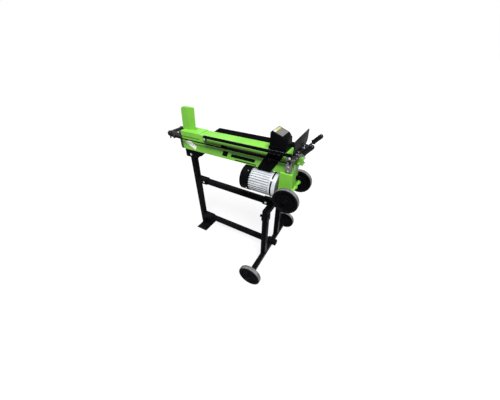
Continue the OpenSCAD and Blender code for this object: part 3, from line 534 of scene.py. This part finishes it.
def frame_ring(made, outer, inner, centre, u, v, thickness):
    """A flat frame between two outlines of as many points, made thick towards v x u."""
    out = v.cross(u)
    rings = []
    levels = ((outer, 0.0, 1.0), (outer, thickness * 0.7, 1.0), (outer, thickness, 0.97),
              (inner, thickness, 1.0), (inner, 0.0, 1.0))
    for outline, height, scale in levels:
        rings.append([made.verts.new(centre + u * (a * scale) + v * (b * scale) + out * height)
                      for a, b in outline])
    count = len(outer)
    for low, high in zip(rings, rings[1:] + rings[:1]):
        for i in range(count):
            j = (i + 1) % count
            made.faces.new((low[i], low[j], high[j], high[i]))


def socket_screw(made, base, axis, radius, height):
    """A cap screw's head with a hexagon socket."""
    depth = height * 0.55
    turn(made, [(0.0, 0.0), (radius, 0.0), (radius, height * 0.85), (radius * 0.9, height),
                (radius * 0.55, height), (radius * 0.52, height * 0.97, True),
                (radius * 0.52, height - depth, True), (0.0, height - depth * 1.15)], base, axis, 24)


def hex_head(made, base, axis, radius, height):
    """A hexagon head with a washer face and chamfered corners."""
    turn(made, [(0.0, 0.0), (radius * 1.12, 0.0), (radius * 1.12, height * 0.12),
                (radius, height * 0.14, True), (radius, height * 0.86, True), (radius * 0.84, height),
                (0.0, height)], base, axis, 24)


# ---- Wheels ----

TYRE_SIDES = 144
NOTCH_COLUMNS = 6
NOTCH_DEPTH = 1.3 * MM
HUB_SIDES = 96
HUB_RIBS = 12
RIB_HEIGHT = 1.6 * MM


def wheel(name, body):
    """A solid rubber tyre with a grooved tread, on a moulded hub with rings and ribs."""
    low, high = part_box(TYRES[name])
    centre = (low + high) / 2
    radius = (high.z - low.z) / 2
    half = (high.y - low.y) / 2
    made = bmesh.new()
    turn(made, tyre_outline(radius, half), Vector(), Y_AXIS, TYRE_SIDES, closed=True)
    notch_tyre(made, radius, half)
    tyre = add_piece(name + "_tread", made, body, "tyre_rubber", 40)
    move_to(tyre, centre, body)
    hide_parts(TYRES[name])

    low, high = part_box(HUBS[name])
    rim = (high.z - low.z) / 2 + 1.2 * MM
    web = half * 0.40
    made = bmesh.new()
    face = hub_outline(rim, web, half * 0.80, (high.y - low.y) / 2)
    turn(made, face + mirrored(face), Vector(), Y_AXIS, HUB_SIDES, closed=True)
    for side in (-1, 1):
        for k in range(HUB_RIBS):
            spoke(made, math.tau * k / HUB_RIBS, rim * 0.56, rim * 0.75, side * web,
                  side * (web + RIB_HEIGHT))
    hub = add_piece(name + "_rim", made, body, "black_plastic", 30)
    move_to(hub, centre, body)
    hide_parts(HUBS[name])


def mirrored(outline):
    """A section's other half, in the order that carries on from its last point."""
    return [(radius, -along) for radius, along in reversed(outline)]


def tyre_outline(radius, half):
    """A tyre's section: a stepped side wall, three grooves that run round the tread, the other wall."""
    wall = [(radius * reach, -half * along) for reach, along in
            ((0.785, 0.84), (0.80, 0.93), (0.83, 0.97), (0.835, 0.93), (0.855, 0.93), (0.862, 0.985),
             (0.90, 1.0), (0.945, 0.985), (0.972, 0.93), (0.990, 0.80), (0.998, 0.62))]
    groove = radius - 1.4 * MM
    tread = []
    for edge in (-0.50, -0.17, 0.17):
        tread += [(radius, half * edge), (groove, half * (edge + 0.03)),
                  (groove, half * (edge + 0.09)), (radius, half * (edge + 0.12))]
    return wall + tread + mirrored(wall)


def hub_outline(rim, web, lip, boss):
    """Half of a hub's section: the boss, two raised rings on the web, and the lip under the tyre."""
    bore = 7.2 * MM
    inner_ring = web + 2.2 * MM
    outer_ring = web + 2.8 * MM
    step = web + 0.6 * MM
    return [(bore, boss), (15.0 * MM, boss), (16.2 * MM, boss - 1.2 * MM), (17.0 * MM, web + 1.0 * MM),
            (18.5 * MM, web), (rim * 0.47, web), (rim * 0.49, inner_ring), (rim * 0.53, inner_ring),
            (rim * 0.55, web), (rim * 0.74, web), (rim * 0.76, outer_ring), (rim * 0.80, outer_ring),
            (rim * 0.82, step), (rim * 0.90, step), (rim * 0.93, lip), (rim * 0.985, lip),
            (rim, lip - 1.0 * MM)]


def notch_tyre(made, radius, half):
    """Cuts both shoulders into short blocks by pulling in two columns of points out of every six."""
    for vert in made.verts:
        if abs(vert.co.y) < half * 0.55:
            continue
        out = math.hypot(vert.co.x, vert.co.z)
        if out < radius * 0.985:
            continue
        column = round((math.atan2(vert.co.z, vert.co.x) / math.tau) * TYRE_SIDES) % TYRE_SIDES
        if column % NOTCH_COLUMNS < 2:
            share = 1.0 - NOTCH_DEPTH / out
            vert.co.x *= share
            vert.co.z *= share


def spoke(made, angle, inner, outer, low, high):
    """A low radial rib on a hub's face, from the web at low to its crest at high."""
    ahead = Vector((math.cos(angle), 0, math.sin(angle)))
    across = Vector((-math.sin(angle), 0, math.cos(angle)))
    half = 1.1 * MM
    ring = []
    for height, width in ((low, half * 1.3), (high, half * 0.8)):
        for reach, side in ((inner, -1), (outer, -1), (outer, 1), (inner, 1)):
            spot = ahead * reach + across * (side * width)
            ring.append(made.verts.new(spot + Y_AXIS * height))
    for i in range(4):
        j = (i + 1) % 4
        made.faces.new((ring[i], ring[j], ring[4 + j], ring[4 + i]))
    made.faces.new(ring[:4])
    made.faces.new(ring[4:])


def move_to(piece, centre, body):
    """Puts a piece that was built round the origin in its place, so its textures stay with it."""
    piece.parent = None
    piece.matrix_world = Matrix.Translation(centre)
    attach(piece, body)


# ---- Stand, beam and motor details ----

TUBE = 35 * MM
BAR = 34 * MM
SOCKET = 42 * MM
FOOT_TOP = 5 * MM
THIN_BEAD = 1.6 * MM
LABEL_SKIN = 0.35 * MM


def stand_welds():
    """Beads round the stand's sockets, foot, gusset, portal legs and head plates."""
    made = bmesh.new()
    leg_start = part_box("left_leg")[0].x
    leg_x = leg_start + TUBE
    for bar in ("upper_bar", "lower_bar"):
        socket = Vector((leg_x, 0, middle(bar).z))
        bead(made, rectangle(socket, Y_AXIS, Z_AXIS, SOCKET, SOCKET), closed=True)
    foot = Vector((leg_start + TUBE / 2, 0, FOOT_TOP))
    bead(made, rectangle(foot, X_AXIS, Y_AXIS, TUBE, TUBE), closed=True)
    gusset_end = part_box("foot_plate")[1].x - 4 * MM
    for side in (-1, 1):
        y = side * 2.6 * MM
        bead(made, [Vector((leg_x, y, FOOT_TOP)), Vector((gusset_end, y, FOOT_TOP))], THIN_BEAD)

    portal_x = middle("portal_legs").x
    bar_z = middle("upper_bar").z
    socket = Vector((portal_x - TUBE / 2, 0, bar_z))
    bead(made, rectangle(socket, Y_AXIS, Z_AXIS, SOCKET, SOCKET), closed=True)
    legs_low, legs_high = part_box("portal_legs")
    leg_y = legs_high.y - BAR / 2
    for side in (-1, 1):
        top = Vector((portal_x, side * leg_y, bar_z - TUBE / 2))
        bead(made, rectangle(top, X_AXIS, Y_AXIS, SOCKET, 40 * MM), THIN_BEAD, closed=True)
        base = Vector((portal_x, side * leg_y, legs_low.z))
        bead(made, rectangle(base, X_AXIS, Y_AXIS, BAR, BAR), closed=True)
        for face_y in (24 * MM, 30 * MM):
            plate = [Vector((portal_x + end * 15 * MM, side * face_y, bar_z + TUBE / 2))
                     for end in (-1, 1)]
            bead(made, plate, THIN_BEAD)
    add_piece("stand_welds", made, "frame", "black_paint", 60)


def machine_welds():
    """Beads at the wedge and its table, the tank, the rear plate and the axle's lugs."""
    made = bmesh.new()
    table_low, table_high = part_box("wedge_table")
    wedge_y = 12.3
    table_top = 829
    for side in (-1, 1):
        back = Vector((table_low.x + 1 * MM, side * wedge_y * MM, table_high.z))
        shoulder = place(43, side * wedge_y, table_top)
        tip = place(86, side * 1.6, table_top)
        bead(made, [back, shoulder, tip], 2.2 * MM)
        flange = side * (table_high.y - 3.4 * MM)
        bead(made, [Vector((table_low.x + 6 * MM, flange, table_low.z)),
                    Vector((table_high.x - 6 * MM, flange, table_low.z))], THIN_BEAD)
    front_z = table_high.z - 4 * MM
    bead(made, [Vector((table_high.x, table_low.y + 6 * MM, front_z)),
                Vector((table_high.x, table_high.y - 6 * MM, front_z))], THIN_BEAD)

    tank_low, tank_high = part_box("tank")
    beam_low, beam_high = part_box("beam")
    bead(made, [Vector((tank_low.x + 3 * MM, beam_low.y, tank_high.z)),
                Vector((beam_high.x - 1 * MM, beam_low.y, tank_high.z))])
    for side in (-1, 1):
        bead(made, [Vector((beam_high.x, side * beam_high.y, beam_low.z + 12 * MM)),
                    Vector((beam_high.x, side * beam_high.y, beam_high.z - 2 * MM))], 1.5 * MM)
    bead(made, [Vector((beam_high.x, beam_low.y + 3 * MM, beam_high.z)),
                Vector((beam_high.x, beam_high.y - 3 * MM, beam_high.z))], 1.5 * MM)

    axle = middle("machine_axle")
    stops = 14
    for y in (-48.5, -39.5, 35.5, 44.5):
        ring = []
        for k in range(stops):
            angle = math.tau * k / stops
            ring.append(axle + Vector((math.cos(angle) * 8.2 * MM, y * MM, math.sin(angle) * 8.2 * MM)))
        bead(made, ring, 1.3 * MM, closed=True)
    add_piece("machine_welds", made, "frame", "green_paint", 60)


def stickers():
    """Blank labels on the pusher's top and the beam's side, and three plain dark bars on the beam."""
    low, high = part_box("pusher_block")
    start = Vector((low.x + 11 * MM, 0, high.z))
    along = Vector((60, 0, -22)).normalized()
    # The pusher's second label is white, given a darker tone than the beam's white label because of the
    # light on the pusher: painted shade.
    # Tint, place down the slope, place across it, length and width
    layout = (("yellow", 10.5, 13, 15, 52), ("white_lit", 10.5, -26, 15, 26), ("silver", 40, 0, 40, 80))
    for tint, d, y, length, width in layout:
        centre = start + along * (d * MM) + Y_AXIS * (y * MM)
        made = bmesh.new()
        outline = rounded(length * MM, width * MM, 1.2 * MM)
        slab(made, outline, centre, along, Y_AXIS, LABEL_SKIN)
        add_piece("pusher_label_" + tint, made, "pusher", "label_" + tint)

    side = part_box("beam")[0].y / MM
    made = bmesh.new()
    outline = [(x * MM, z * MM) for x, z in ((-47, 16), (-8, 34), (46, 4), (32, -22))]
    slab(made, outline, place(71, side, 741), X_AXIS, Z_AXIS, LABEL_SKIN)
    add_piece("beam_label", made, "frame", "label_white")
    made = bmesh.new()
    # Place along the beam, height above the floor, length and height
    for d, z, length, height in ((341, 743, 36, 33), (464, 741, 160, 20), (482, 718, 140, 6)):
        outline = slanted(length * MM, height * MM)
        slab(made, outline, place(d, side, z), X_AXIS, Z_AXIS, LABEL_SKIN)
    add_piece("beam_bars", made, "frame", "black_paint")


def motor_details():
    """Screws on the fan cover, bolt heads on the end bell and a dark band over the bell's joint."""
    cover_low, cover_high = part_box("fan_cover")
    centre = middle("fan_cover")
    radius = (cover_high.z - cover_low.z) / 2
    bell_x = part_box("end_bell")[0].x
    screws = bmesh.new()
    bolts = bmesh.new()
    for k in range(4):
        angle = math.radians(30 + 90 * k)
        out = Vector((0, math.cos(angle), math.sin(angle)))
        on_cover = Vector((cover_high.x - 15 * MM, centre.y, centre.z)) + out * (radius - 0.3 * MM)
        socket_screw(screws, on_cover, out, 4.0 * MM, 2.6 * MM)
        on_bell = Vector((bell_x + 5.6 * MM, centre.y, centre.z)) + out * (radius - 1.6 * MM)
        hex_head(bolts, on_bell, -X_AXIS, 4.6 * MM, 4.0 * MM)
    add_piece("fan_cover_screws", screws, "frame", "zinc")
    add_piece("motor_through_bolts", bolts, "frame", "zinc")

    made = bmesh.new()
    joint = Vector((bell_x, centre.y, centre.z))
    band_r = radius - 0.5 * MM
    seat_r = band_r - 1.2 * MM
    section = [(seat_r, 9 * MM), (band_r, 9.4 * MM), (band_r, 18.6 * MM), (seat_r, 19 * MM)]
    turn(made, section, joint, X_AXIS, 96, closed=True)
    add_piece("motor_joint_band", made, "frame", "black_plastic")


def switch_box_details():
    """The switch box's seam, the screws at its corners and a bezel round the rocker."""
    centre = middle("terminal_box")
    cover_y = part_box("terminal_box")[1].y
    face = Vector((centre.x, cover_y, centre.z))
    made = bmesh.new()
    rim = rounded(84 * MM, 60 * MM, 4 * MM)
    seam = Vector((centre.x, cover_y - 10 * MM, centre.z))
    loop = [seam + X_AXIS * a + Z_AXIS * b for a, b in rim]
    loop.append(loop[0])
    sweep(made, loop, [0.9 * MM] * len(loop), 6)
    add_piece("switch_box_seam", made, "frame", "black_plastic", 60)

    made = bmesh.new()
    for a in (-34 * MM, 34 * MM):
        for b in (-22 * MM, 22 * MM):
            spot = face + X_AXIS * a + Z_AXIS * b - Y_AXIS * (0.3 * MM)
            socket_screw(made, spot, Y_AXIS, 3.2 * MM, 2.0 * MM)
    add_piece("switch_box_screws", made, "frame", "zinc")

    made = bmesh.new()
    outer = rounded(38 * MM, 34 * MM, 4 * MM)
    inner = rounded(26.4 * MM, 23.4 * MM, 1.0 * MM)
    frame_ring(made, outer, inner, face, X_AXIS, Z_AXIS, 2.2 * MM)
    add_piece("rocker_bezel", made, "frame", "black_plastic")


def valve_details():
    """Cap screws at the corners of the valve's end and a blanking plug between them."""
    end_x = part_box("valve_block")[1].x - 0.2 * MM
    centre_y = -4 * MM
    base = 766 * MM
    made = bmesh.new()
    for side in (-1, 1):
        y = centre_y + side * 9.5 * MM
        for height in (6 * MM, 34 * MM):
            socket_screw(made, Vector((end_x, y, base + height)), X_AXIS, 3.4 * MM, 4 * MM)
    add_piece("valve_screws", made, "frame", "steel")
    made = bmesh.new()
    hex_head(made, Vector((end_x, centre_y, base + 20 * MM)), X_AXIS, 6.5 * MM, 6 * MM)
    add_piece("valve_plugs", made, "frame", "zinc")


def caps():
    """Moulded plugs on the cross tube's ends and the carry handle's ends."""
    made = bmesh.new()
    portal_x = middle("portal_legs").x
    bar_z = middle("upper_bar").z
    for side, u in ((-1, X_AXIS), (1, -X_AXIS)):
        spot = Vector((portal_x, side * 126.5 * MM, bar_z))
        outline = rounded(34.6 * MM, 34.6 * MM, 3 * MM)
        slab(made, outline, spot, u, Z_AXIS, 2.4 * MM, 1.0 * MM)
    add_piece("tube_caps", made, "frame", "black_plastic")

    made = bmesh.new()
    handle_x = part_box("carry_handle")[0].x + 16 * MM
    handle_z = middle("carry_handle").z
    dome = [(0, 1.7 * MM), (7 * MM, 1.5 * MM), (11 * MM, 0.9 * MM), (12 * MM, 0), (0, 0)]
    for side in (-1, 1):
        turn(made, dome, Vector((handle_x, side * 63.8 * MM, handle_z)), Y_AXIS * side, 32)
    add_piece("handle_caps", made, "frame", "black_plastic")


for name in TYRES:
    machine, side = name.split("_")
    wheel(name, "%s_wheel_%s" % (machine, side))
stand_welds()
machine_welds()
stickers()
motor_details()
switch_box_details()
valve_details()
caps()


# ---- Studio ----

CAMERA_AT = Vector((0.6601, -0.9778, 1.2525))
CAMERA_YAW = 30.0
CAMERA_PITCH = 37.2
CAMERA_ROLL = -0.23
LENS = 14.65
LENS_SHIFT = (0.0042, 0.0038)
SUN_FROM = Vector((0.34, -0.40, 0.85))
LAMPS_AIM = Vector((0, 0, 0.7))
# Each soft lamp's name, place and power
LAMPS = (("fill", (-1.6, 1.2, 2.2), 12.0), ("back", (-0.5, 2.5, 0.45), 42.0))


def camera():
    made = add_object("camera", bpy.data.cameras.new("camera"))
    made.data.lens = LENS
    made.data.sensor_width = 36.0
    made.data.shift_x, made.data.shift_y = LENS_SHIFT
    made.location = CAMERA_AT
    yaw = Matrix.Rotation(math.radians(CAMERA_YAW), 4, "Z")
    tip = Matrix.Rotation(math.radians(90.0 - CAMERA_PITCH), 4, "X")
    roll = Matrix.Rotation(math.radians(CAMERA_ROLL), 4, "Z")
    made.rotation_euler = (yaw @ tip @ roll).to_euler()
    bpy.context.scene.camera = made


def floor():
    """A wide pale disc just under the feet, kept out of the diffuse light on the object."""
    mesh = bpy.data.meshes.new("floor")
    made = bmesh.new()
    bmesh.ops.create_circle(made, cap_ends=True, segments=96, radius=40.0)
    made.to_mesh(mesh)
    made.free()
    disc = add_object("floor", mesh)
    disc.location.z = -0.2 * MM
    disc.visible_diffuse = False
    g = Graph("floor")
    g.set(Base_Color=colour(0.07, 0.07, 0.07), Roughness=1.0, Specular_IOR_Level=0.0,
          Emission_Color=colour(1.0, 1.0, 1.0), Emission_Strength=0.86)
    mesh.materials.append(g.material)


def sky():
    """A dim cool sky that lights the object, and plain white where the camera sees past the floor."""
    world = bpy.data.worlds.new("world")
    bpy.context.scene.world = world
    world.use_nodes = True
    tree = world.node_tree
    dim = tree.nodes["Background"]
    dim.inputs["Color"].default_value = (0.93, 0.96, 1.0, 1.0)
    dim.inputs["Strength"].default_value = 0.20
    white = tree.nodes.new("ShaderNodeBackground")
    white.inputs["Color"].default_value = (1.0, 1.0, 1.0, 1.0)
    white.inputs["Strength"].default_value = 1.0
    seen = tree.nodes.new("ShaderNodeLightPath")
    both = tree.nodes.new("ShaderNodeMixShader")
    tree.links.new(seen.outputs["Is Camera Ray"], both.inputs[0])
    tree.links.new(dim.outputs[0], both.inputs[1])
    tree.links.new(white.outputs[0], both.inputs[2])
    tree.links.new(both.outputs[0], tree.nodes["World Output"].inputs["Surface"])


def lights():
    """A soft sun over the near side, and two soft lamps on the far side."""
    sun = bpy.data.lights.new("key", "SUN")
    sun.energy = 8.9
    sun.angle = math.radians(24)
    add_object("key", sun).rotation_euler = SUN_FROM.to_track_quat("Z", "Y").to_euler()
    for name, spot, energy in LAMPS:
        soft = bpy.data.lights.new(name, "AREA")
        soft.shape = "RECTANGLE"
        soft.size = 1.6
        soft.size_y = 0.8
        soft.energy = energy
        lamp = add_object(name, soft)
        lamp.location = Vector(spot)
        lamp.rotation_euler = (lamp.location - LAMPS_AIM).to_track_quat("Z", "Y").to_euler()


camera()
floor()
sky()
lights()
bpy.context.scene.view_settings.view_transform = "Standard"
